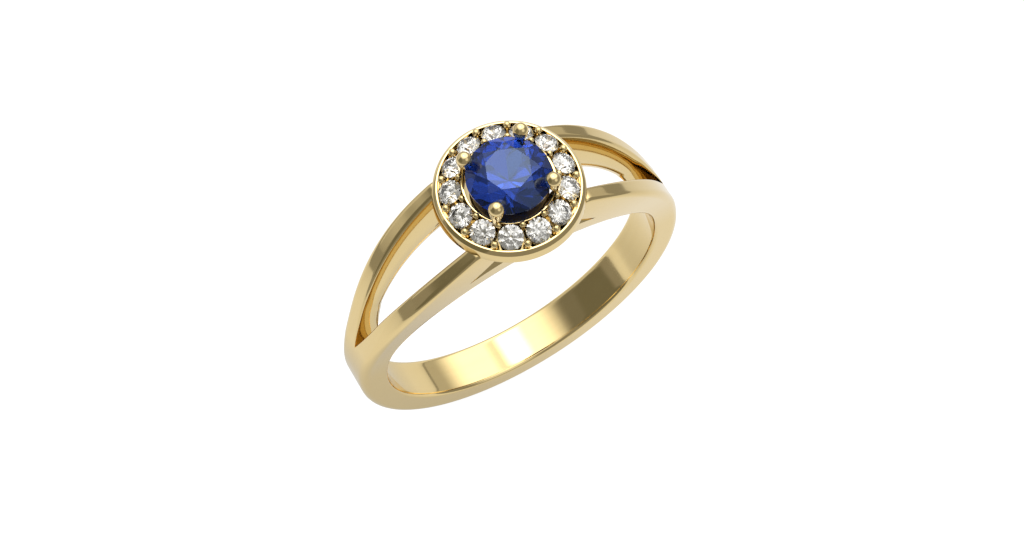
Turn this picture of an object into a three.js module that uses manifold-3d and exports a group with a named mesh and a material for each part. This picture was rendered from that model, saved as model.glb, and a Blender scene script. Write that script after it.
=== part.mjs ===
// Halo engagement ring with a split shank. Millimetres, +Z up through the centre stone,
// Y along the finger, X across the shoulders, origin at the centre of the finger hole.
import * as THREE from 'three';
import { mergeVertices } from 'three/addons/utils/BufferGeometryUtils.js';
import Module from 'manifold-3d';

const wasm = await Module();
wasm.setup();

// ---- finger hole and lower band ----
const fingerRadius = 8.25;
const bandThickness = 1.55;
const bandWidth = 2.44;
const outerChamfer = 0.35;
const comfortChamfer = 0.14;

// ---- shoulders: angles are measured from the head's axis (+Z) ----
const shoulderAngle = 68;      // where the band starts to thicken towards the head
const crestInset = 0.78;       // the thickening ends this far inside the halo's edge
const crestOverrun = 0.17;     // and this far over its underside
const crestPower = 1.68;
const crestClimb = 1.2;        // the curve may run on this far past its end, under the head
const flareStartZ = 0.8;       // the side faces splay from here up
const flareEndDrop = 0.4;      // to this far under the halo
const flareWidth = 1.18;

// ---- split of the shank into four arms ----
const crotchAngle = 73;        // where the arms part, on the outside of the band
const slotHalfWidth = 1.7;
const slotFullness = 3.2;
const slotTaper = 0.85;

// ---- bridge rails and the wedge windows over them ----
const bridgeHeight = 1.15;     // rail's height over the hole, under the centre stone
const windowTipAngle = 22.7;
const windowTipHeight = 1.08;  // window's tip over the hole
const windowPitch = 45;        // slope of the window's roof
const armEndReach = 0.2;       // the arm's end stands this far outside the claw's axis

// ---- halo tray, a pavé plate that slopes down and outwards ----
const trayBaseLift = 2.83;     // underside of the tray over the finger hole's crown
const trayWallHeight = 0.7;
const trayFlare = 0.24;        // how far the wall splays from its rim to its base
const trayChamferWidth = 0.16; // bevel between the rim and the wall
const trayChamferDrop = 0.19;
const rimWidth = 0.11;
const rimStep = 0.1;
const plateSlope = 0.5;
const plateThickness = 0.42;
const trayWallThickness = 0.34;
const trayHoleMargin = 0.11;   // from the centre stone's girdle to the hole
const innerLedge = 0.13;       // least width from the hole to the diamonds

// ---- halo diamonds ----
const haloCount = 13;
const haloPhase = -118.14;
const haloDiameter = 1.25;
const haloSpacing = 0.13;      // least gap from one diamond to the next
const haloStand = 0.04;        // height of the girdles over the plate
const pocketRadius = 0.45;     // hole drilled through the plate under each diamond

// ---- grains raised beside each diamond to hold it ----
const outerBeadRadius = 0.19;
const innerBeadRadius = 0.15;
const outerBeadInset = 0.15;   // grain's centre from the rim
const innerBeadInset = 0.22;   // grain's centre from the hole
const beadStand = 0.4;         // share of its radius a grain's centre stands over the plate

// ---- centre stone ----
const centreDiameter = 4.18;
const centreLift = 4.59;       // girdle over the finger hole's crown
const girdleShare = 0.025;
const crownShare = 0.15;
const pavilionShare = 0.42;
const tableShare = 0.55;

// ---- claws and gallery ring ----
const clawAngles = { front_right: -45, back_right: 45, back_left: 135, front_left: -135 };
const clawRadius = 0.31;
const clawTipRadius = 0.39;
const clawOffset = 0.1;        // post's axis outside the girdle
const clawTipLift = 0.58;      // tip centre over the girdle
const galleryWall = 0.65;
const galleryBite = 0.07;      // how far the posts bite into the gallery's edge
const galleryHeight = 0.5;
const galleryTopGap = 0.75;    // gallery's top to the tray's hole edge

// ---- clearance between neighbouring pieces, and fineness ----
const gap = 0.03;
const ringSegments = 96;
const haloSegments = 52;
const stoneSegments = 16;
const clawSegments = 12;
const centreSegments = 32;
const gallerySegments = 40;
const beadSegments = 8;
const beadRings = 5;
const clawTipRings = 5;
const slotSteps = 24;
const sillSteps = 16;
const weldDistance = 1e-5;
const far = 40;

// ---- sizes that follow from those above ----
const deg = THREE.MathUtils.degToRad;
const bandRadius = fingerRadius + bandThickness;
const halfBand = bandWidth / 2;
const centreRadius = centreDiameter / 2;
const slopeAngle = Math.atan(plateSlope);
const haloReach = (haloDiameter / 2) * Math.cos(slopeAngle);
const trayHoleRadius = centreRadius + trayHoleMargin;
const circlePastStone = trayHoleRadius + innerLedge + haloReach;
const circleForSpacing = (haloDiameter + haloSpacing) / (2 * Math.sin(Math.PI / haloCount));
const haloCircleRadius = Math.max(circlePastStone, circleForSpacing);
const plateEdgeRadius = haloCircleRadius + haloReach;
const trayRimRadius = plateEdgeRadius + rimWidth;
const trayBaseRadius = trayRimRadius + trayFlare;
const outerBeadCircle = plateEdgeRadius - outerBeadInset;
const innerBeadCircle = trayHoleRadius + innerBeadInset;
const trayBaseZ = fingerRadius + trayBaseLift;
const rimZ = trayBaseZ + trayWallHeight;
const plateEdgeZ = rimZ - rimStep;
const plateZ = (r) => plateEdgeZ + (plateEdgeRadius - r) * plateSlope;
const girdleZ = fingerRadius + centreLift;
const bridgeTopZ = fingerRadius + bridgeHeight;
const crestEnd = new THREE.Vector2(trayBaseRadius - crestInset, trayBaseZ + crestOverrun);
const crestAngle = THREE.MathUtils.radToDeg(Math.atan2(crestEnd.x, crestEnd.y));
const crestRise = crestEnd.length() - bandRadius;
const flareEndZ = trayBaseZ - flareEndDrop;
const clawCircleRadius = centreRadius + clawOffset;
const armEndX = clawCircleRadius * Math.SQRT1_2 + armEndReach;
const galleryOuterRadius = clawCircleRadius - clawRadius + galleryBite;
const galleryInnerRadius = galleryOuterRadius - galleryWall;

const polar = (angle, r) => new THREE.Vector2(r * Math.sin(deg(angle)), r * Math.cos(deg(angle)));

// ---- solids ----
function solid(geometry) {
  const g = geometry.clone();
  g.deleteAttribute('normal');
  g.deleteAttribute('uv');
  const merged = mergeVertices(g, weldDistance);
  return new wasm.Manifold(new wasm.Mesh({
    numProp: 3,
    vertProperties: new Float32Array(merged.attributes.position.array),
    triVerts: new Uint32Array(merged.index.array),
  }));
}

// points in X and Z, extruded along Y
function frontPrism(points, y0, y1) {
  const g = new THREE.ExtrudeGeometry(new THREE.Shape(points), { depth: y1 - y0, bevelEnabled: false });
  g.rotateX(Math.PI / 2);
  g.translate(0, y1, 0);
  return solid(g);
}

// points in X and Y, extruded along Z
function planPrism(points, z0, z1) {
  const g = new THREE.ExtrudeGeometry(new THREE.Shape(points), { depth: z1 - z0, bevelEnabled: false });
  g.translate(0, 0, z0);
  return solid(g);
}

// profile of [radius, height] pairs turned about Z
function turned(profile, segments) {
  const points = profile.map(([r, z]) => new THREE.Vector2(r, z));
  const g = new THREE.LatheGeometry(points, segments);
  g.rotateX(Math.PI / 2);
  return g;
}

// closes a ring profile on itself
const closed = (profile) => [...profile, profile[0]];

// ---- the shank's full body: a band turned about Y, raised and splayed towards the head ----
function crest(angle) {
  const t = THREE.MathUtils.clamp((shoulderAngle - angle) / (shoulderAngle - crestAngle), 0, crestClimb);
  return crestRise * t ** crestPower;
}

function splay(z) {
  const t = THREE.MathUtils.clamp((z - flareStartZ) / (flareEndZ - flareStartZ), 0, 1);
  return flareWidth * t * t * (3 - 2 * t);
}

function shankBody() {
  const innerFlat = halfBand - comfortChamfer;
  const outerFlat = halfBand - outerChamfer;
  const section = closed([
    [fingerRadius, -innerFlat],
    [fingerRadius + comfortChamfer, -halfBand],
    [bandRadius - outerChamfer, -halfBand],
    [bandRadius, -outerFlat],
    [bandRadius, outerFlat],
    [bandRadius - outerChamfer, halfBand],
    [fingerRadius + comfortChamfer, halfBand],
    [fingerRadius, innerFlat],
  ]).map(([r, y]) => new THREE.Vector2(r, y));
  const g = new THREE.LatheGeometry(section, ringSegments);
  const p = g.attributes.position;
  const middle = (fingerRadius + bandRadius) / 2;
  for (let i = 0; i < p.count; i += 1) {
    const x = p.getX(i);
    const z = p.getZ(i);
    const r = Math.hypot(x, z);
    const angle = THREE.MathUtils.radToDeg(Math.atan2(Math.abs(x), z));
    const raised = r > middle ? r + crest(angle) : r;
    const newZ = (z * raised) / r;
    const y = p.getY(i);
    p.setXYZ(i, (x * raised) / r, y + Math.sign(y) * splay(newZ), newZ);
  }
  return solid(g);
}

// ---- eye-shaped slot between the arms, cut straight down ----
const crotchX = bandRadius * Math.sin(deg(crotchAngle));

function slotCutter() {
  const half = [];
  const steps = slotSteps;
  for (let i = 0; i <= steps; i += 1) {
    const t = Math.sin((Math.PI / 2) * (i / steps));
    half.push(new THREE.Vector2(crotchX * t, slotHalfWidth * (1 - t ** slotFullness) ** slotTaper));
  }
  const upper = [...half].reverse().concat(half.slice(1).map((p) => new THREE.Vector2(-p.x, p.y)));
  const lower = upper.slice(1, -1).map((p) => new THREE.Vector2(p.x, -p.y)).reverse();
  const centre = new THREE.Vector2(0, 0);
  const top = new THREE.Vector2(0, far);
  const fan = [centre, polar(crotchAngle, far), top, polar(-crotchAngle, far)];
  return planPrism([...upper, ...lower], 0, far).intersect(frontPrism(fan, -far, far));
}

// ---- windows between each arm's underside and the bridge rail ----
const tip = polar(windowTipAngle, fingerRadius + windowTipHeight);
const roofEnd = new THREE.Vector2(armEndX, tip.y + (tip.x - armEndX) * Math.tan(deg(windowPitch)));

const sill = Array.from({ length: sillSteps + 1 }, (_, i) => {
  const t = (2 * i) / sillSteps - 1;
  return new THREE.Vector2(tip.x * t, bridgeTopZ - (bridgeTopZ - tip.y) * t * t);
});

const windowCutter = frontPrism([
  ...sill,
  roofEnd,
  new THREE.Vector2(armEndX, far),
  new THREE.Vector2(-armEndX, far),
  new THREE.Vector2(-roofEnd.x, roofEnd.y),
], -far, far);

// ---- halo tray ----
const trayProfile = [
  [trayHoleRadius, plateZ(trayHoleRadius)],
  [plateEdgeRadius, plateEdgeZ],
  [plateEdgeRadius, rimZ],
  [trayRimRadius, rimZ],
  [trayRimRadius + trayChamferWidth, rimZ - trayChamferDrop],
  [trayBaseRadius, trayBaseZ],
  [trayBaseRadius - trayWallThickness, trayBaseZ],
  [plateEdgeRadius - trayWallThickness / 2, plateEdgeZ - plateThickness],
  [trayHoleRadius, plateZ(trayHoleRadius) - plateThickness],
];
const trayEnvelope = solid(turned([
  [0, trayBaseZ - gap],
  [trayBaseRadius + gap, trayBaseZ - gap],
  [trayBaseRadius + gap, far],
  [0, far],
], haloSegments));

// ---- stones: round cut, girdle centred on the origin ----
function stoneProfile(diameter, grow = 0) {
  const r = diameter / 2 + grow;
  const girdle = (diameter * girdleShare) / 2;
  return [
    [0, -girdle - diameter * pavilionShare - grow],
    [r, -girdle],
    [r, girdle],
    [(diameter * tableShare) / 2 + grow / 2, girdle + diameter * crownShare + grow],
    [0, girdle + diameter * crownShare + grow],
  ];
}

function haloPlaced(geometry, index) {
  const azimuth = deg(haloPhase - (360 / haloCount) * index);
  geometry.rotateY(slopeAngle);
  geometry.translate(haloCircleRadius, 0, plateZ(haloCircleRadius) + haloStand);
  geometry.rotateZ(azimuth);
  return geometry;
}

// ---- claws: a round post with a ball tip, standing on the bridge rail ----
const clawFootZ = bridgeTopZ - bridgeHeight / 2;
const shadow = new THREE.Vector2(0, gap);
const railShadow = frontPrism([
  new THREE.Vector2(-tip.x, 0),
  ...sill.map((p) => p.clone().add(shadow)),
  new THREE.Vector2(tip.x, 0),
], -far, far);

function clawGeometry(grow) {
  const rp = clawRadius + grow;
  const tipZ = girdleZ + clawTipLift;
  const profile = [[0, clawFootZ], [rp, clawFootZ]];
  const rt = clawTipRadius + grow;
  const neck = Math.asin(Math.min(rp / rt, 1));
  const steps = clawTipRings;
  for (let i = 0; i <= steps; i += 1) {
    const a = Math.PI - neck - ((Math.PI - neck) * i) / steps;
    profile.push([i === steps ? 0 : rt * Math.sin(a), tipZ + rt * Math.cos(a)]);
  }
  return turned(profile, clawSegments);
}

function clawAt(angle, grow) {
  const g = clawGeometry(grow);
  g.translate(clawCircleRadius * Math.cos(deg(angle)), clawCircleRadius * Math.sin(deg(angle)), 0);
  return solid(g);
}

const centreSeat = turned(stoneProfile(centreDiameter, gap), centreSegments);
centreSeat.translate(0, 0, girdleZ);
let stoneSeats = solid(centreSeat);
for (let i = 0; i < haloCount; i += 1) {
  const seat = turned(stoneProfile(haloDiameter, gap), stoneSegments);
  stoneSeats = stoneSeats.add(solid(haloPlaced(seat, i)));
}

// ---- materials ----
const finishes = {
  gold: { color: 0xd6b878, roughness: 0.18, metalness: 1 },
  sapphire: { color: 0x2a2f8c, roughness: 0.02, metalness: 0 },
  diamond: { color: 0xf2f4f6, roughness: 0.02, metalness: 0 },
};
const finish = (name) => new THREE.MeshStandardMaterial({ name, ...finishes[name] });

const ring = new THREE.Group();

function addSolid(name, body, material) {
  const { vertProperties, triVerts } = body.getMesh();
  const g = new THREE.BufferGeometry();
  g.setAttribute('position', new THREE.BufferAttribute(new Float32Array(vertProperties), 3));
  g.setIndex(new THREE.BufferAttribute(new Uint32Array(triVerts), 1));
  g.computeVertexNormals();
  const mesh = new THREE.Mesh(g, material);
  mesh.name = name;
  ring.add(mesh);
  return mesh;
}

// ---- shank: lower band, four arms and two bridge rails ----
let shank = shankBody().subtract(slotCutter()).subtract(windowCutter).subtract(trayEnvelope);
for (const angle of Object.values(clawAngles)) {
  shank = shank.subtract(clawAt(angle, gap).subtract(railShadow));
}

// joints: thin radial slits, one under each crotch and one under each window's tip
const jointAngle = crotchAngle + 0.5;
const wellInside = 0.6 * fingerRadius;   // the slits start inside the finger hole

function slit(angle, r0, r1) {
  const across = polar(angle + 90, gap / 2);
  const [inner, outer] = [polar(angle, r0), polar(angle, r1)];
  return frontPrism([
    inner.clone().sub(across),
    outer.clone().sub(across),
    outer.clone().add(across),
    inner.clone().add(across),
  ], -far, far);
}

for (const side of [-1, 1]) {
  shank = shank.subtract(slit(side * jointAngle, wellInside, far));
  shank = shank.subtract(slit(side * windowTipAngle, wellInside, tip.length() + gap));
}

const lowerCorner = 135;       // the region round the lower band passes well under it
const jointIn = polar(jointAngle, wellInside);
const jointOut = polar(jointAngle, far);
const mirrored = (p) => new THREE.Vector2(-p.x, p.y);
const lower = frontPrism([
  jointIn,
  jointOut,
  polar(lowerCorner, far),
  polar(-lowerCorner, far),
  mirrored(jointOut),
  mirrored(jointIn),
], -far, far);
addSolid('shank_band', shank.intersect(lower), finish('gold'));

const slitIn = polar(windowTipAngle, wellInside);
const insideWindow = new THREE.Vector2(armEndX - gap, roofEnd.y - 2 * gap);
const armRegion = [jointIn, jointOut, new THREE.Vector2(insideWindow.x, far), insideWindow, tip, slitIn];
const railRight = [slitIn, tip, insideWindow];
const railCrown = new THREE.Vector2(0, bridgeTopZ + 2 * gap);
const railRegion = [...railRight, railCrown, ...railRight.map(mirrored).reverse()];
for (const [face, y0, y1] of [['front', -far, -gap / 2], ['back', gap / 2, far]]) {
  const right = shank.intersect(frontPrism(armRegion, y0, y1));
  const left = shank.intersect(frontPrism(armRegion.map(mirrored), y0, y1));
  addSolid(`arm_${face}_right`, right, finish('gold'));
  addSolid(`arm_${face}_left`, left, finish('gold'));
  addSolid(`bridge_${face}`, shank.intersect(frontPrism(railRegion, y0, y1)), finish('gold'));
}

// ---- halo tray with its pockets, claw notches and grains ----
let tray = solid(turned(closed(trayProfile).reverse(), haloSegments));
for (let i = 0; i < haloCount; i += 1) {
  const azimuth = deg(haloPhase - (360 / haloCount) * (i + 0.5));
  for (const [r, radius] of [[outerBeadCircle, outerBeadRadius], [innerBeadCircle, innerBeadRadius]]) {
    const bead = new THREE.SphereGeometry(radius, beadSegments, beadRings);
    bead.translate(r * Math.cos(azimuth), r * Math.sin(azimuth), plateZ(r) + radius * beadStand);
    tray = tray.add(solid(bead));
  }
}
for (let i = 0; i < haloCount; i += 1) {
  const seatRadius = haloDiameter / 2 + gap;
  const pocket = new THREE.LatheGeometry([
    new THREE.Vector2(0, -plateThickness * 2),
    new THREE.Vector2(pocketRadius, -plateThickness * 2),
    new THREE.Vector2(seatRadius, -haloDiameter * girdleShare),
    new THREE.Vector2(seatRadius, haloDiameter),
    new THREE.Vector2(0, haloDiameter),
  ], stoneSegments);
  pocket.rotateX(Math.PI / 2);
  tray = tray.subtract(solid(haloPlaced(pocket, i)));
}
for (const angle of Object.values(clawAngles)) {
  tray = tray.subtract(clawAt(angle, gap));
}
addSolid('halo_tray', tray, finish('gold'));

// ---- gallery ring under the centre stone ----
const galleryTop = plateZ(trayHoleRadius) - galleryTopGap;
let gallery = solid(turned(closed([
  [galleryInnerRadius, galleryTop],
  [galleryInnerRadius, galleryTop - galleryHeight],
  [galleryOuterRadius, galleryTop - galleryHeight],
  [galleryOuterRadius, galleryTop],
]), gallerySegments)).subtract(stoneSeats);
for (const angle of Object.values(clawAngles)) {
  gallery = gallery.subtract(clawAt(angle, gap));
}
addSolid('gallery_ring', gallery, finish('gold'));

// ---- claws ----
for (const [name, angle] of Object.entries(clawAngles)) {
  addSolid(`claw_${name}`, clawAt(angle, 0).subtract(stoneSeats).subtract(railShadow), finish('gold'));
}

// ---- stones ----
const centre = turned(stoneProfile(centreDiameter), centreSegments);
centre.translate(0, 0, girdleZ);
addSolid('centre_sapphire', solid(centre), finish('sapphire'));

for (let i = 0; i < haloCount; i += 1) {
  const stone = haloPlaced(turned(stoneProfile(haloDiameter), stoneSegments), i);
  addSolid(`halo_diamond_${String(i + 1).padStart(2, '0')}`, solid(stone), finish('diamond'));
}

export default ring;
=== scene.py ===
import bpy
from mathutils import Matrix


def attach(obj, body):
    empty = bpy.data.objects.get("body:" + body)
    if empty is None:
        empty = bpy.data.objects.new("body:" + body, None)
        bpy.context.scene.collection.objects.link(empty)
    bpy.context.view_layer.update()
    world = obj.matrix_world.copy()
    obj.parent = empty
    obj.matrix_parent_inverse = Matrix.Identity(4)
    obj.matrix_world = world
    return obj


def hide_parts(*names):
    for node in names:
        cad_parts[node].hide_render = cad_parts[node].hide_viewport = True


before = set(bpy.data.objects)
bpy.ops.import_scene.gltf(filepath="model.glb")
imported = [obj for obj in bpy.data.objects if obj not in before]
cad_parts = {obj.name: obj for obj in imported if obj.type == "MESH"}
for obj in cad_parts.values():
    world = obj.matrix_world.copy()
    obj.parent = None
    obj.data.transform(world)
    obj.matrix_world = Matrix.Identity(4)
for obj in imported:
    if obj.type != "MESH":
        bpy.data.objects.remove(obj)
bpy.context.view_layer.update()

import math

import bpy
from mathutils import Matrix, Vector

MM = 0.001


# ---------------------------------------------------------------- camera
# A long lens looks down on the ring from the front left, with the finger
# hole's centre a little under the middle of the frame.
azimuth, elevation, roll = math.radians(-28.03), math.radians(65.48), math.radians(-2.17)
reach = 100.1 * MM
back = Vector((math.sin(azimuth) * math.cos(elevation),
               -math.cos(azimuth) * math.cos(elevation),
               math.sin(elevation)))
level = Vector((math.cos(azimuth), math.sin(azimuth), 0))
upward = back.cross(level)
right = level * math.cos(roll) + upward * math.sin(roll)
above = upward * math.cos(roll) - level * math.sin(roll)
lens = bpy.data.cameras.new("long_lens")
lens.lens = 65.2
lens.shift_x = -0.0009
lens.shift_y = 0.0186
lens.clip_start = 5 * MM
lens.clip_end = 4
camera = bpy.data.objects.new("camera", lens)
camera.matrix_world = Matrix((right, above, back)).transposed().to_4x4()
camera.location = back * reach
bpy.context.scene.collection.objects.link(camera)
bpy.context.scene.camera = camera


# ---------------------------------------------------------------- studio
# A wide soft light hangs behind the ring and to its right, with a small lamp
# beside it. The wall behind is grey, a dark screen stands on the left, the
# rest of the room is dim, and the table below is white.
def blank_nodes(owner):
    owner.use_nodes = True
    tree = owner.node_tree
    tree.nodes.clear()
    return tree, tree.nodes, tree.links


room = bpy.data.worlds.new("room")
bpy.context.scene.world = room
tree, nodes, links = blank_nodes(room)
direction = nodes.new("ShaderNodeTexCoord")


def card(under, turn, height, full, none, shade):
    """Lays a round soft patch on the room. Turn is from +Y towards +X, and the
    patch is even as far as full and gone at none, all in degrees."""
    t, h = math.radians(turn), math.radians(height)
    facing = nodes.new("ShaderNodeVectorMath")
    facing.operation = "DOT_PRODUCT"
    links.new(direction.outputs["Generated"], facing.inputs[0])
    towards = (math.sin(t) * math.cos(h), math.cos(t) * math.cos(h), math.sin(h))
    facing.inputs[1].default_value = towards
    spread = nodes.new("ShaderNodeMapRange")
    spread.interpolation_type = "SMOOTHSTEP"
    links.new(facing.outputs["Value"], spread.inputs["Value"])
    spread.inputs["From Min"].default_value = math.cos(math.radians(none))
    spread.inputs["From Max"].default_value = math.cos(math.radians(full))
    over = nodes.new("ShaderNodeMix")
    over.data_type = "RGBA"
    links.new(spread.outputs[0], over.inputs["Factor"])
    links.new(under, over.inputs["A"])
    over.inputs["B"].default_value = (*shade, 1)
    return over.outputs["Result"]


def beyond(turn, low, high):
    """Share of the room past the upright plane that faces the given turn."""
    t = math.radians(turn)
    facing = nodes.new("ShaderNodeVectorMath")
    facing.operation = "DOT_PRODUCT"
    links.new(direction.outputs["Generated"], facing.inputs[0])
    facing.inputs[1].default_value = (math.sin(t), math.cos(t), 0)
    spread = nodes.new("ShaderNodeMapRange")
    spread.interpolation_type = "SMOOTHSTEP"
    links.new(facing.outputs["Value"], spread.inputs["Value"])
    spread.inputs["From Min"].default_value = low
    spread.inputs["From Max"].default_value = high
    return spread.outputs[0]


dim = nodes.new("ShaderNodeRGB")
dim.outputs[0].default_value = (0.32, 0.31, 0.285, 1)
far_window = (148, 40, 12, 28, (0.95, 0.95, 0.93))
side_wall = (68, 0, 12, 26, (0.58, 0.57, 0.54))
dark_corner = (-72, 42, 10, 20, (0.23, 0.225, 0.20))
dark_screen = (-95, 24, 28.3, 30.8, (0.19, 0.185, 0.15))
ceiling = (0, 85, 18, 34, (1.05, 1.04, 1.00))
wide_light = (42, 55, 26, 52, (2.1, 2.08, 2.0))
light_middle = (47, 60, 1, 11, (1.35, 1.33, 1.26))
small_lamp = (28, 65, 1.5, 13, (4.6, 4.4, 4.0))
shown = card(dim.outputs[0], *far_window)
shown = card(shown, *side_wall)
# the grey wall behind ends at an upright edge on either hand
wall = nodes.new("ShaderNodeMath")
wall.operation = "MULTIPLY"
links.new(beyond(24.5, -0.015, 0.03), wall.inputs[0])
links.new(beyond(-38, 0.0, 0.12), wall.inputs[1])
over = nodes.new("ShaderNodeMix")
over.data_type = "RGBA"
links.new(wall.outputs[0], over.inputs["Factor"])
links.new(shown, over.inputs["A"])
over.inputs["B"].default_value = (0.70, 0.69, 0.66, 1)
shown = card(over.outputs["Result"], *dark_corner)
for patch in (dark_screen, ceiling, wide_light, light_middle, small_lamp):
    shown = card(shown, *patch)
ray = nodes.new("ShaderNodeLightPath")
seen = nodes.new("ShaderNodeMix")
seen.data_type = "RGBA"
links.new(ray.outputs["Is Camera Ray"], seen.inputs["Factor"])
links.new(shown, seen.inputs["A"])
seen.inputs["B"].default_value = (0.92, 0.92, 0.92, 1)
glow = nodes.new("ShaderNodeBackground")
links.new(seen.outputs["Result"], glow.inputs["Color"])
links.new(glow.outputs[0], nodes.new("ShaderNodeOutputWorld").inputs["Surface"])

# The table glows evenly white to the camera. In the gold's reflections its glow is painted, with
# painted shade near the ring and painted light fading outward.
table_top = bpy.data.materials.new("white_table")
tree, nodes, links = blank_nodes(table_top)
paper = nodes.new("ShaderNodeBsdfPrincipled")
paper.inputs["Base Color"].default_value = (0.16, 0.16, 0.16, 1)
paper.inputs["Roughness"].default_value = 0.9
paper.inputs["Specular IOR Level"].default_value = 0.0
paper.inputs["Emission Strength"].default_value = 1.0
place = nodes.new("ShaderNodeTexCoord")
size_up = nodes.new("ShaderNodeMapping")
painted_shade_and_light_reach = 0.094
size_up.inputs["Location"].default_value = (0.10, 0, 0)
size_up.inputs["Scale"].default_value = (1 / painted_shade_and_light_reach, 1 / painted_shade_and_light_reach, 1)
reach_out = nodes.new("ShaderNodeVectorMath")
reach_out.operation = "LENGTH"
links.new(place.outputs["Object"], size_up.inputs["Vector"])
links.new(size_up.outputs[0], reach_out.inputs[0])
# Painted contact shadow and painted pool of light: for rays other than the camera's, the glow is dim
# close to the ring, brightest a short way out, then fading with distance.
falls = nodes.new("ShaderNodeValToRGB")
falls.color_ramp.elements[0].position = 0.0
falls.color_ramp.elements[0].color = (0.50, 0.50, 0.49, 1)
falls.color_ramp.elements[1].position = 1.0
falls.color_ramp.elements[1].color = (0.16, 0.155, 0.14, 1)
for at, shade in ((0.07, 0.56), (0.15, 0.76), (0.30, 0.76), (0.60, 0.66), (0.94, 0.55)):
    stop = falls.color_ramp.elements.new(at)
    stop.color = (shade, shade, shade, 1)
links.new(reach_out.outputs["Value"], falls.inputs["Fac"])
ray = nodes.new("ShaderNodeLightPath")
seen = nodes.new("ShaderNodeMix")
seen.data_type = "RGBA"
links.new(ray.outputs["Is Camera Ray"], seen.inputs["Factor"])
links.new(falls.outputs["Color"], seen.inputs["A"])
seen.inputs["B"].default_value = (0.95, 0.95, 0.95, 1)
links.new(seen.outputs["Result"], paper.inputs["Emission Color"])
links.new(paper.outputs[0], nodes.new("ShaderNodeOutputMaterial").inputs["Surface"])
bpy.ops.mesh.primitive_plane_add(size=2.4, location=(0, 0, -9.8 * MM))
floor = bpy.context.object
floor.name = "floor"
floor.data.materials.append(table_top)
bpy.context.scene.view_settings.view_transform = "Standard"


# ---------------------------------------------------------------- shank
# Cast in yellow gold: a band with rounded outer edges and an eased finger
# hole, which parts at each shoulder into two arms. The slot's walls are a
# little barrelled, and a thin bridge rail follows the hole under the head.
def polish_wear():
    group = bpy.data.node_groups.new("polish_wear", "ShaderNodeTree")
    face = group.interface
    face.new_socket("Scale", in_out="INPUT", socket_type="NodeSocketFloat")
    face.new_socket("Smooth", in_out="INPUT", socket_type="NodeSocketFloat")
    face.new_socket("Worn", in_out="INPUT", socket_type="NodeSocketFloat")
    face.new_socket("Roughness", in_out="OUTPUT", socket_type="NodeSocketFloat")
    face.new_socket("Height", in_out="OUTPUT", socket_type="NodeSocketFloat")
    face.new_socket("Wave", in_out="OUTPUT", socket_type="NodeSocketFloat")
    n, k = group.nodes, group.links
    given, result = n.new("NodeGroupInput"), n.new("NodeGroupOutput")
    place = n.new("ShaderNodeTexCoord")
    rubs = n.new("ShaderNodeTexNoise")
    rubs.inputs["Detail"].default_value = 5
    k.new(place.outputs["Object"], rubs.inputs["Vector"])
    k.new(given.outputs["Scale"], rubs.inputs["Scale"])
    lines = n.new("ShaderNodeTexNoise")
    lines.inputs["Detail"].default_value = 3
    stretch = n.new("ShaderNodeMapping")
    stretch.inputs["Scale"].default_value = (0.25, 4, 0.25)
    k.new(place.outputs["Object"], stretch.inputs["Vector"])
    k.new(stretch.outputs[0], lines.inputs["Vector"])
    k.new(given.outputs["Scale"], lines.inputs["Scale"])
    level_range = n.new("ShaderNodeMapRange")
    k.new(rubs.outputs[0], level_range.inputs["Value"])
    level_range.inputs["From Min"].default_value = 0.3
    level_range.inputs["From Max"].default_value = 0.75
    k.new(given.outputs["Smooth"], level_range.inputs["To Min"])
    k.new(given.outputs["Worn"], level_range.inputs["To Max"])
    k.new(level_range.outputs[0], result.inputs["Roughness"])
    k.new(lines.outputs[0], result.inputs["Height"])
    swell = n.new("ShaderNodeTexNoise")
    swell.inputs["Detail"].default_value = 1
    swell.inputs["Scale"].default_value = 420
    k.new(place.outputs["Object"], swell.inputs["Vector"])
    k.new(swell.outputs[0], result.inputs["Wave"])
    return group


wear = polish_wear()


def gold_finish(name, colour, smooth, worn, scale, wave=0.006):
    gold = bpy.data.materials.new(name)
    tree, nodes, links = blank_nodes(gold)
    metal = nodes.new("ShaderNodeBsdfPrincipled")
    metal.inputs["Metallic"].default_value = 1.0
    marks = nodes.new("ShaderNodeGroup")
    marks.node_tree = wear
    marks.inputs["Scale"].default_value = scale
    marks.inputs["Smooth"].default_value = smooth
    marks.inputs["Worn"].default_value = worn
    links.new(marks.outputs["Roughness"], metal.inputs["Roughness"])
    tone = nodes.new("ShaderNodeMix")
    tone.data_type = "RGBA"
    tone.inputs["A"].default_value = (*colour, 1)
    tone.inputs["B"].default_value = (colour[0] * 0.96, colour[1] * 0.93, colour[2] * 0.88, 1)
    links.new(marks.outputs["Height"], tone.inputs["Factor"])
    links.new(tone.outputs["Result"], metal.inputs["Base Color"])
    bump = nodes.new("ShaderNodeBump")
    bump.inputs["Strength"].default_value = 0.04
    bump.inputs["Distance"].default_value = 0.004 * MM
    links.new(marks.outputs["Height"], bump.inputs["Height"])
    ripple = nodes.new("ShaderNodeBump")
    ripple.inputs["Strength"].default_value = 1.0
    ripple.inputs["Distance"].default_value = wave * MM
    links.new(marks.outputs["Wave"], ripple.inputs["Height"])
    links.new(ripple.outputs[0], bump.inputs["Normal"])
    links.new(bump.outputs[0], metal.inputs["Normal"])
    links.new(metal.outputs[0], nodes.new("ShaderNodeOutputMaterial").inputs["Surface"])
    return gold


shank_gold = gold_finish("polished_shank_gold", (0.80, 0.635, 0.325), 0.05, 0.11, 900)


def loft(name, rows):
    """A grid with one row of points to each section, in millimetres."""
    across, along = len(rows[0]), len(rows)
    bpy.ops.object.select_all(action="DESELECT")
    bpy.ops.mesh.primitive_grid_add(x_subdivisions=across - 1, y_subdivisions=along - 1, size=1)
    sheet = bpy.context.object
    sheet.name = name
    for vertex in sheet.data.vertices:
        i = round((vertex.co.x + 0.5) * (across - 1))
        j = round((vertex.co.y + 0.5) * (along - 1))
        vertex.co = Vector(rows[j][i]) * MM
    return sheet


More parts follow.
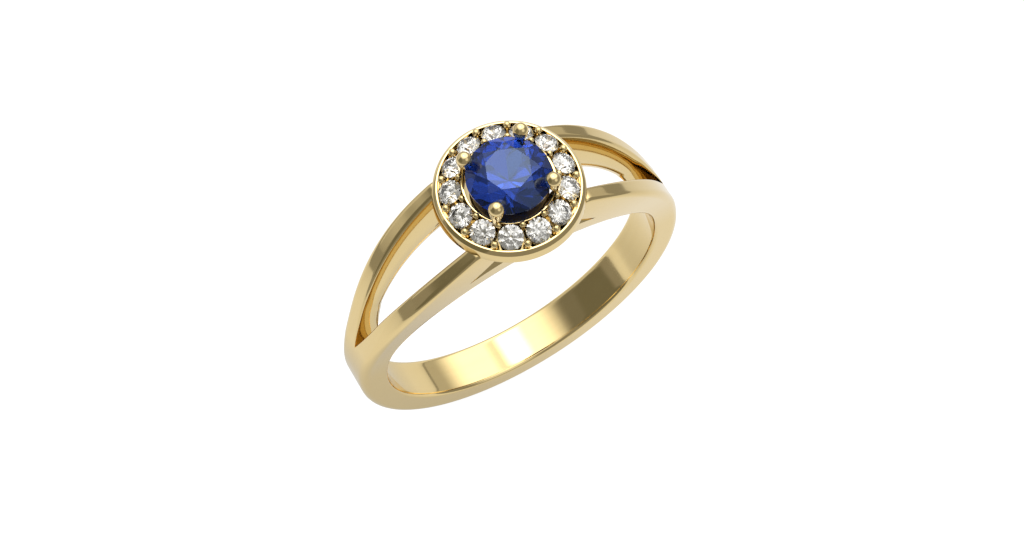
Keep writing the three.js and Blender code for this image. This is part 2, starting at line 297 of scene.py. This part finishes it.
finger, band_top, half_band = 8.25, 9.8, 1.22
shoulder_turn, crest_turn, crest_rise, crest_power = 68.0, 15.02, 1.848, 1.68
crotch_turn, crotch_tilt = 73.0, 3.0
window_turn, window_tip = 22.7, 9.33
lip_rise, lip_reach = 0.16, 0.24
slot_half, bright_edge = 1.70, 0.13
belly, belly_height, belly_limit = 0.32, 0.42, 0.36
edge_at_head, edge_at_crotch, edge_on_band = 0.20, 0.46, 0.38
arm_top = 11.20  # the arms run this far up, into the floor of the tray


def top_radius(turn):
    share = max(0.0, (shoulder_turn - turn) / (shoulder_turn - crest_turn))
    return band_top + crest_rise * share ** crest_power


def half_width(z):
    share = min(1.0, max(0.0, (z - 0.8) / 9.88))
    return half_band + 1.18 * share * share * (3 - 2 * share)


def slot_width(x):
    share = min(1.0, abs(x) / (band_top * math.sin(math.radians(crotch_turn))))
    return slot_half * (1 - share ** 3.2) ** 0.85


def edge_round(turn):
    """Radius of the outer edge: tight beside the head, full at the crotch."""
    shoulder = min(1.0, max(0.0, (turn - 25) / 45))
    below = min(1.0, max(0.0, (turn - 80) / 40))
    grown = edge_at_head + (edge_at_crotch - edge_at_head) * shoulder
    return grown - (edge_at_crotch - edge_on_band) * below


def wall_belly(x, z, width):
    """How far the slot's wall stands into the slot: it is fullest a little under half way up."""
    turn = math.degrees(math.atan2(x, z))
    share = (math.hypot(x, z) - finger) / (top_radius(turn) - finger)
    room_left = 1 - belly_height if share > belly_height else belly_height
    off = (share - belly_height) / room_left
    return min(belly, belly_limit * width) * max(0.0, 1 - off * off)


def spot(radius, turn):
    return Vector((radius * math.sin(math.radians(turn)), radius * math.cos(math.radians(turn))))


def outside(low, high, first, last, hole_from, top_to, splits):
    """The section's open C from the hole's surface round the side to the top.
    low and high are its lowest and highest points in X and Z."""
    rise = (high - low)
    depth = rise.length
    rise = rise / depth
    points = []

    def put(height, inset):
        p = low + rise * height
        points.append((p.x, -(half_width(p.y) - inset), p.y))

    if first == "hole":
        full = half_width(low.y)
        for i in range(6):
            t = i / 6
            p = low
            points.append((p.x, -(hole_from + (full - lip_reach - hole_from) * t), p.y))
        for i in range(7):
            a = math.radians(90 * i / 6)
            put(lip_rise * (1 - math.cos(a)), lip_reach * (1 - math.sin(a)))
    edge = edge_round(math.degrees(math.atan2(high.x, high.y)))
    start = lip_rise if first == "hole" else 0.0
    end = depth - edge if last == "top" else depth
    middle = splits if splits is not None else (start + end) / 2
    for i in range(1, 6):
        put(start + (middle - start) * i / 5, 0)
    if last != "top":
        return points
    for i in range(1, 7):
        put(middle + (end - middle) * i / 6, 0)
    for i in range(1, 8):
        a = math.radians(90 * i / 7)
        put(end + edge * math.sin(a), edge * (1 - math.cos(a)))
    full = half_width(high.y) - edge
    for i in range(1, 9):
        t = i / 8
        points.append((high.x, -(full + (top_to - full) * t), high.y))
    return points


def inside(low, high, widths, chamfer_top, chamfer_low, splits):
    """The slot's wall from the top's edge down to the hole's. widths are half
    the slot's at the bottom, at the height that splits the wall, and at the top."""
    rise = high - low
    depth = rise.length
    rise = rise / depth
    points = []

    def put(height, push):
        p = low + rise * height
        width_low, width_mid, width_high = widths
        if height < splits:
            y = width_low + (width_mid - width_low) * height / max(splits, 1e-6)
        else:
            y = width_mid + (width_high - width_mid) * (height - splits) / max(depth - splits, 1e-6)
        y += push
        y -= wall_belly(p.x, p.y, y)
        points.append((p.x, -y, p.y))

    for i in range(7):
        a = math.radians(90 * i / 6)
        put(depth - chamfer_top * (1 - math.cos(a)), chamfer_top * (1 - math.sin(a)))
    for i in range(1, 7):
        put(depth - chamfer_top + (splits - depth + chamfer_top) * i / 6, 0)
    for i in range(1, 6):
        put(splits + (chamfer_low - splits) * i / 5, 0)
    for i in range(1, 4):
        a = math.radians(90 * i / 3)
        put(chamfer_low * (1 - math.sin(a)), chamfer_low * (1 - math.cos(a)))
    return points


def tilt_at(turn):
    if turn >= crotch_turn:
        return crotch_tilt * max(0.0, 1 - (turn - crotch_turn) / 22)
    return crotch_tilt * max(0.0, 1 - (crotch_turn - turn) / 25)


def low_slot(turn_low):
    gap = max(0.0, crotch_turn + crotch_tilt - turn_low)
    return slot_width(finger * math.sin(math.radians(turn_low))) * min(1.0, gap / 18) ** 0.6


def split_height(turn):
    depth = top_radius(turn) - finger
    share = min(1.0, max(0.0, (crotch_turn - turn) / (crotch_turn - window_turn)))
    return 0.5 * depth * (1 - share) + (window_tip - finger) * share


def main_row(turn):
    low = spot(finger, turn + tilt_at(turn))
    high = spot(top_radius(turn), turn)
    return low, high


band_rows = []
for i in range(61):
    turn = 180 - (180 - crotch_turn) * (i / 60) ** 0.9
    low, high = main_row(turn)
    band_rows.append(outside(low, high, "hole", "top", 0, 0, split_height(turn)))

arm_out, arm_in = [], []
arm_steps = 56
for i in range(arm_steps + 1):
    turn = crotch_turn + (window_turn - crotch_turn) * (i / arm_steps) ** 1.4
    low, high = main_row(turn)
    wide_low = low_slot(turn + tilt_at(turn)) if i else 0.0
    wide_high = slot_width(high.x) if i else 0.0
    ease = min(1.0, min(wide_low, wide_high) / 0.45)
    top_edge, low_edge = bright_edge * ease, 0.08 * ease
    middle = split_height(turn)
    across = low + (high - low).normalized() * middle
    straight = wide_low + (wide_high - wide_low) * middle / (high - low).length
    opening = min(1.0, (crotch_turn - turn) / (crotch_turn - window_turn))
    wide_mid = straight + (slot_width(across.x) - straight) * opening
    hole_from, top_to = wide_low + low_edge, wide_high + top_edge
    arm_out.append(outside(low, high, "hole", "top", hole_from, top_to, middle))
    arm_in.append(inside(low, high, (wide_low, wide_mid, wide_high), top_edge, low_edge, middle))

# over the window the arm runs on to the claw as a rail of its own
tip = spot(window_tip, window_turn)
arm_end, rail_crown, sill_bevel = 1.75, 9.40, 0.30
pitch = math.tan(math.radians(45))
last_high = main_row(window_turn)[1]


def crest_at(x):
    lo_turn, hi_turn = 0.0, window_turn
    for _ in range(40):
        mid = (lo_turn + hi_turn) / 2
        if spot(top_radius(mid), mid).x < x:
            lo_turn = mid
        else:
            hi_turn = mid
    return spot(top_radius(hi_turn), hi_turn).y


upper_out, upper_in, roof = [], [], []
for i in range(15):
    t = i / 14
    x_low = tip.x + (arm_end - tip.x) * t
    low = Vector((x_low, tip.y + (tip.x - x_low) * pitch))
    x_high = last_high.x + (arm_end - last_high.x) * t
    high = Vector((x_high, min(crest_at(x_high), arm_top)))
    depth = (high - low).length
    wide_low, wide_high = slot_width(low.x), slot_width(high.x)
    top_to = wide_high + bright_edge
    top_to -= wall_belly(high.x, high.y, top_to)
    side = outside(low, high, "roof", "top", 0, top_to, 0.0)
    side = side[4:]
    wall = inside(low, high, (wide_low, wide_low, wide_high), bright_edge, 0.0, 0.0)[:13]
    upper_out.append(side)
    upper_in.append(wall)
    start, end = Vector(wall[-1]), Vector(side[0])
    roof.append([tuple(start.lerp(end, k / 4)) for k in range(5)])

lower_out, lower_in, sill = [], [], []
for i in range(25):
    t = i / 24
    x = tip.x * (1 - t)
    high = Vector((x, rail_crown - (rail_crown - tip.y) * (1 - t) ** 2))
    low = spot(finger, window_turn * (1 - t))
    wide_low, wide_high = slot_width(low.x), slot_width(high.x)
    side = outside(low, high, "hole", "sill", wide_low + 0.08, 0, (high - low).length)
    wall = inside(low, high, (wide_low, wide_high, wide_high), 0.0, 0.08, (high - low).length)[12:]
    lower_out.append(side)
    lower_in.append(wall)
    start, end = Vector(side[-1]), Vector(wall[0])
    bevel = sill_bevel * min(1.0, 3 * t)
    shelf = [start.lerp(end, k / 4) for k in range(5)]
    for k in (1, 2, 3):
        shelf[k].z += bevel
    sill.append([tuple(p) for p in shelf])

parts = {
    "band": [band_rows],
    "arm": [arm_out, arm_in, upper_out, upper_in, roof],
    "bridge": [lower_out, lower_in, sill],
}
regions = []
for label, sheets in parts.items():
    marker = bpy.data.materials.new("region_" + label)
    for number, rows in enumerate(sheets):
        sheet = loft(f"{label}_{number}", rows)
        sheet.data.materials.append(marker)
        regions.append(sheet)

bpy.ops.object.select_all(action="DESELECT")
for sheet in regions:
    sheet.select_set(True)
bpy.context.view_layer.objects.active = regions[0]
bpy.ops.object.join()
whole = bpy.context.object
whole.name = "whole_shank"
mirror = whole.modifiers.new("both_ways", "MIRROR")
mirror.use_axis = (True, True, False)
mirror.use_clip = False
mirror.merge_threshold = 0.002 * MM
bpy.ops.object.modifier_apply(modifier=mirror.name)
bpy.ops.object.mode_set(mode="EDIT")
bpy.ops.mesh.select_all(action="SELECT")
bpy.ops.mesh.remove_doubles(threshold=0.002 * MM)
bpy.ops.mesh.dissolve_degenerate(threshold=0.001 * MM)
bpy.ops.mesh.normals_make_consistent(inside=False)
bpy.ops.object.mode_set(mode="OBJECT")
bpy.ops.object.shade_smooth_by_angle(angle=math.radians(40))

bpy.context.tool_settings.mesh_select_mode = (False, False, True)
pieces = [("shank_band", "band", 0, 0)]
for face, y in (("front", -1), ("back", 1)):
    for side, x in (("left", -1), ("right", 1)):
        pieces.append((f"arm_{face}_{side}", "arm", x, y))
    pieces.append((f"bridge_{face}", "bridge", 0, y))
for name, label, x, y in pieces:
    piece = whole.copy()
    piece.data = whole.data.copy()
    piece.name = "gold_" + name
    bpy.context.scene.collection.objects.link(piece)
    slots = [m.name for m in piece.data.materials]
    for polygon in piece.data.polygons:
        keep = slots[polygon.material_index] == "region_" + label
        keep = keep and polygon.center.x * x >= 0 and polygon.center.y * y >= 0
        polygon.select = not keep
    bpy.ops.object.select_all(action="DESELECT")
    piece.select_set(True)
    bpy.context.view_layer.objects.active = piece
    bpy.ops.object.mode_set(mode="EDIT")
    bpy.ops.mesh.delete(type="FACE")
    bpy.ops.mesh.select_all(action="SELECT")
    bpy.ops.mesh.fill_holes(sides=0)
    bpy.ops.object.mode_set(mode="OBJECT")
    pull = piece.modifiers.new("same_polish", "DATA_TRANSFER")
    pull.object = whole
    pull.use_loop_data = True
    pull.data_types_loops = {"CUSTOM_NORMAL"}
    pull.loop_mapping = "NEAREST_POLYNOR"
    bpy.ops.object.modifier_apply(modifier=pull.name)
    piece.data.materials.clear()
    piece.data.materials.append(shank_gold)
    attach(piece, "root")
    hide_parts(name)
bpy.data.objects.remove(whole)


# ---------------------------------------------------------------- halo tray
# A turned gold dish with a flared wall and a fine raised rim. Its face falls
# away from the hole to the rim and is sunk between a narrow edge at the hole
# and the rim, so the diamonds sit in a shadowed channel.
def turned(name, profile, steps):
    rows = []
    for j in range(steps + 1):
        turn = 2 * math.pi * j / steps
        rows.append([(r * math.cos(turn), r * math.sin(turn), z) for r, z in profile])
    shape = loft(name, rows)
    close_up(shape)
    return shape


def close_up(shape):
    bpy.ops.object.select_all(action="DESELECT")
    shape.select_set(True)
    bpy.context.view_layer.objects.active = shape
    bpy.ops.object.mode_set(mode="EDIT")
    bpy.ops.mesh.select_all(action="SELECT")
    bpy.ops.mesh.remove_doubles(threshold=0.0005 * MM)
    bpy.ops.mesh.dissolve_degenerate(threshold=0.0002 * MM)
    bpy.ops.mesh.select_all(action="SELECT")
    bpy.ops.mesh.normals_make_consistent(inside=False)
    bpy.ops.object.mode_set(mode="OBJECT")


def rounded(corners, steps=4):
    """Corners given as (r, z, fillet) become a polyline with eased corners."""
    path = []
    count = len(corners)
    for i, (r, z, fillet) in enumerate(corners):
        here = Vector((r, z))
        before = Vector(corners[i - 1][:2])
        after = Vector(corners[(i + 1) % count][:2])
        if fillet <= 0:
            path.append((r, z))
            continue
        a = here + (before - here).normalized() * fillet
        b = here + (after - here).normalized() * fillet
        for k in range(steps + 1):
            t = k / steps
            p = a * (1 - t) ** 2 + here * 2 * t * (1 - t) + b * t * t
            path.append((p.x, p.y))
    path.append(path[0])
    return path


def smooth(shape, angle=35):
    bpy.ops.object.select_all(action="DESELECT")
    shape.select_set(True)
    bpy.context.view_layer.objects.active = shape
    bpy.ops.object.shade_smooth_by_angle(angle=math.radians(angle))


# Rough gold darkened to a deep brown: painted shade for the hole's wall under the stone and for the
# gallery, which sit in shade.
painted_shade_gold = gold_finish("rough_gold_with_painted_shade", (0.20, 0.135, 0.06), 0.35, 0.6, 1800)
hole_edge, hole_z, rim_in, rim_out, rim_z = 2.2, 12.304, 3.448, 3.558, 11.78
base_out, base_z, face_slope = 3.798, 11.08, 0.5
tray_corners = [
    (hole_edge, 11.12, 0.03), (3.40, 11.10, 0.01), (3.44, base_z, 0.02),
    (base_out - 0.01, base_z, 0.04), (base_out - 0.08, 11.59, 0.035), (rim_out, rim_z, 0.02),
    (rim_in + 0.02, rim_z, 0.02), (rim_in, rim_z - 0.08, 0.02), (3.41, 11.24, 0.05),
    (3.0, 11.36, 0), (2.65, 11.50, 0), (2.40, 11.68, 0.05), (2.335, 12.2, 0.02),
    (2.31, hole_z, 0.015), (hole_edge, hole_z, 0.012),
]
tray = turned("halo_tray_body", rounded(tray_corners), 160)
tray_gold = gold_finish("polished_tray_gold", (0.80, 0.635, 0.325), 0.04, 0.10, 1100)
tray.data.materials.append(tray_gold)

halo_count, halo_first, halo_circle = 13, -118.14, 2.889
halo_step = -360 / halo_count


def face_z(r):
    return rim_z - 0.1 + (rim_in - r) * face_slope


def grain(name, r, turn, radius):
    """A round bead on a short neck that spreads into the channel's floor."""
    profile = [(0, 1.0)]
    for k in range(1, 10):
        a = math.radians(118 * k / 9)
        profile.append((math.sin(a), math.cos(a)))
    profile += [(0.80, -0.75), (0.78, -1.3), (0.86, -2.3), (0, -2.3)]
    bead = turned(name, [(x * radius, z * radius) for x, z in profile], 20)
    smooth(bead, 60)
    lean = Matrix.Rotation(math.atan(face_slope) * 0.6, 4, "Y")
    spin = Matrix.Rotation(math.radians(turn), 4, "Z")
    seat = Matrix.Translation(Vector((r, 0, face_z(r) + radius * 0.7)) * MM)
    bead.data.transform(spin @ seat @ lean)
    bead.data.materials.append(tray_gold)
    return bead


# Painted shade: the tray's wall inside the hole, below its edge, takes the darkened gold.
tray.data.materials.append(painted_shade_gold)
for polygon in tray.data.polygons:
    spot_at = polygon.center / MM
    if math.hypot(spot_at.x, spot_at.y) < hole_edge + 0.01 and spot_at.z < hole_z - 0.05:
        polygon.material_index = 1
smooth(tray, 40)
beads = []
for i in range(halo_count):
    turn = halo_first + halo_step * (i + 0.5)
    beads.append(grain(f"rim_bead_{i}", rim_in - 0.17, turn, 0.195))
    beads.append(grain(f"hole_bead_{i}", hole_edge + 0.235, turn, 0.165))
bpy.ops.object.select_all(action="DESELECT")
for bead in beads:
    bead.select_set(True)
tray.select_set(True)
bpy.context.view_layer.objects.active = tray
bpy.ops.object.join()
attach(tray, "root")
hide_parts("halo_tray")


# ---------------------------------------------------------------- gallery
# A plain gold ring soldered between the claws under the tray. Its darkened gold is painted shade for
# the shade it sits in.
gallery = turned("gold_gallery_ring", rounded([
    (1.30, 11.05, 0.12), (1.95, 11.05, 0.12), (1.95, 11.55, 0.12), (1.30, 11.55, 0.12)]), 96)
smooth(gallery, 60)
gallery.data.materials.append(painted_shade_gold)
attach(gallery, "root")
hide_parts("gallery_ring")


# ---------------------------------------------------------------- claws
# Four gold wires rise from the bridges through the tray. Each is drawn in
# at the tray and swells into a polished round tip over the stone's edge.
claw_tip, tip_radius = 13.42, 0.39
claw_stations = []
for k in range(1, 10):
    a = math.radians(100 * k / 9)
    claw_stations.append((2.19, claw_tip + tip_radius * math.cos(a), tip_radius * math.sin(a)))
claw_stations += [
    (2.20, 13.22, 0.372), (2.22, 13.08, 0.343), (2.25, 12.94, 0.306), (2.28, 12.80, 0.264),
    (2.31, 12.66, 0.222), (2.33, 12.52, 0.188), (2.335, 12.40, 0.165), (2.31, 12.24, 0.165),
    (2.25, 12.0, 0.20), (2.20, 11.7, 0.25), (2.19, 11.3, 0.29), (2.19, 10.4, 0.305),
    (2.19, 9.4, 0.31), (2.19, 8.72, 0.31),
]
claw_gold = gold_finish("polished_claw_gold", (0.82, 0.66, 0.35), 0.03, 0.08, 1400)
for name, turn in (("front_left", -135), ("front_right", -45), ("back_left", 135), ("back_right", 45)):
    rows = []
    for j in range(41):
        around = 2 * math.pi * j / 40
        row = [(2.19, 0, claw_tip + tip_radius)]
        for r, z, radius in claw_stations:
            row.append((r + radius * math.cos(around), radius * math.sin(around), z))
        row.append((2.19, 0, 8.72))
        rows.append(row)
    claw = loft("gold_claw_" + name, rows)
    close_up(claw)
    claw.data.transform(Matrix.Rotation(math.radians(turn), 4, "Z"))
    smooth(claw, 60)
    claw.data.materials.append(claw_gold)
    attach(claw, "root")
    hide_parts("claw_" + name)


# ---------------------------------------------------------------- sapphire
# A round brilliant of deep royal blue sapphire, held by the four claws.
def facet_plane(p, q, r):
    normal = (q - p).cross(r - p).normalized()
    return (p, normal if normal.dot(p) > 0 else -normal)


def polar(radius, turn, z):
    a = math.radians(turn)
    return Vector((radius * math.cos(a), radius * math.sin(a), z))


def brilliant(name, diameter, table, crown, pavilion, girdle, star, lower):
    """A 57-facet round brilliant whose girdle lies on z = 0. All shares are of the diameter."""
    R = diameter / 2
    g = girdle * R
    top = g + crown * diameter
    culet = -g - pavilion * diameter
    bpy.ops.object.select_all(action="DESELECT")
    bpy.ops.mesh.primitive_cylinder_add(vertices=96, radius=R, depth=2.4 * R)
    stone = bpy.context.object
    stone.name = name
    rt = table * R
    cuts = [(Vector((0, 0, top)), Vector((0, 0, 1)))]
    half = math.cos(math.radians(22.5))
    reach = rt * half + (R - rt * half) * star
    # height of the bezels' meeting line at the star's outer corner
    fall = (top - g) / (R - rt)
    star_z = g + (R - reach * half) * fall
    depth = -g - culet
    low = R * (1 - lower)
    low_z = -g - (R - low * half) * depth / R
    for k in range(8):
        a = 45.0 * k
        out = Vector((math.cos(math.radians(a)), math.sin(math.radians(a)), 0))
        bezel = (out * fall + Vector((0, 0, 1))).normalized()
        cuts.append((polar(R, a, g), bezel))
        corner, other = polar(rt, a, top), polar(rt, a + 45, top)
        outer = polar(reach, a + 22.5, star_z)
        cuts.append(facet_plane(corner, other, outer))
        cuts.append(facet_plane(outer, polar(R, a, g), polar(R, a + 22.5, g)))
        cuts.append(facet_plane(outer, polar(R, a + 45, g), polar(R, a + 22.5, g)))
        main = (out * depth / R - Vector((0, 0, 1))).normalized()
        cuts.append((polar(R, a, -g), main))
        inner = polar(low, a + 22.5, low_z)
        cuts.append(facet_plane(inner, polar(R, a, -g), polar(R, a + 22.5, -g)))
        cuts.append(facet_plane(inner, polar(R, a + 45, -g), polar(R, a + 22.5, -g)))
    bpy.ops.object.mode_set(mode="EDIT")
    for place, normal in cuts:
        bpy.ops.mesh.select_all(action="SELECT")
        bpy.ops.mesh.bisect(plane_co=place, plane_no=normal, use_fill=True, clear_outer=True,
                            threshold=0.00001)
    bpy.ops.mesh.select_all(action="SELECT")
    bpy.ops.mesh.remove_doubles(threshold=0.0005)
    bpy.ops.mesh.select_all(action="SELECT")
    bpy.ops.mesh.normals_make_consistent(inside=False)
    bpy.ops.object.mode_set(mode="OBJECT")
    bpy.ops.object.shade_flat()
    stone.data.transform(Matrix.Scale(MM, 4))
    return stone


def gem(name, colour, veil, ior, scale, glint=(1, 1, 1)):
    stone = bpy.data.materials.new(name)
    tree, nodes, links = blank_nodes(stone)
    glass = nodes.new("ShaderNodeBsdfPrincipled")
    glass.inputs["Transmission Weight"].default_value = 1.0
    glass.inputs["IOR"].default_value = ior
    glass.inputs["Specular Tint"].default_value = (*glint, 1)
    place = nodes.new("ShaderNodeTexCoord")
    cloud = nodes.new("ShaderNodeTexNoise")
    cloud.inputs["Scale"].default_value = scale
    cloud.inputs["Detail"].default_value = 3
    links.new(place.outputs["Object"], cloud.inputs["Vector"])
    blend = nodes.new("ShaderNodeMix")
    blend.data_type = "RGBA"
    blend.inputs["A"].default_value = (*colour, 1)
    blend.inputs["B"].default_value = (*veil, 1)
    links.new(cloud.outputs[0], blend.inputs["Factor"])
    links.new(blend.outputs["Result"], glass.inputs["Base Color"])
    haze = nodes.new("ShaderNodeMapRange")
    links.new(cloud.outputs[0], haze.inputs["Value"])
    haze.inputs["To Min"].default_value = 0.0
    haze.inputs["To Max"].default_value = 0.006
    links.new(haze.outputs[0], glass.inputs["Roughness"])
    links.new(glass.outputs[0], nodes.new("ShaderNodeOutputMaterial").inputs["Surface"])
    return stone


girdle_z = 12.84
sapphire = brilliant("blue_sapphire", 4.17, 0.55, 0.15, 0.42, 0.030, 0.5, 0.50)
sapphire.data.transform(Matrix.Translation((0, 0, girdle_z * MM)))
deep_blue, bright_blue, blue_glint = (0.004, 0.020, 0.20), (0.010, 0.042, 0.34), (0.45, 0.60, 1.0)
blue = gem("royal_blue_sapphire", deep_blue, bright_blue, 1.77, 700, blue_glint)
sapphire.data.materials.append(blue)
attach(sapphire, "root")
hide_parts("centre_sapphire")


# ---------------------------------------------------------------- diamonds
# Thirteen small round brilliants, cut alike, each leaning outward with the
# face of the tray and held by the grains between them.
clear = gem("clear_diamond", (1.0, 0.99, 0.96), (0.95, 0.94, 0.92), 2.42, 1500)
model = brilliant("halo_diamond_model", 1.245, 0.56, 0.155, 0.43, 0.02, 0.5, 0.76)
for i in range(halo_count):
    stone = model.copy()
    stone.data = model.data.copy()
    stone.name = f"white_diamond_{i + 1:02d}"
    bpy.context.scene.collection.objects.link(stone)
    turn = Matrix.Rotation(math.radians(halo_first + halo_step * i), 4, "Z")
    seat = Matrix.Translation(Vector((halo_circle, 0, face_z(halo_circle) + 0.04)) * MM)
    lean = Matrix.Rotation(math.atan(face_slope), 4, "Y")
    own_turn = Matrix.Rotation(math.radians(17.0 * i), 4, "Z")
    stone.data.transform(turn @ seat @ lean @ own_turn)
    stone.data.materials.append(clear)
    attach(stone, "root")
    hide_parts(f"halo_diamond_{i + 1:02d}")
bpy.data.objects.remove(model)
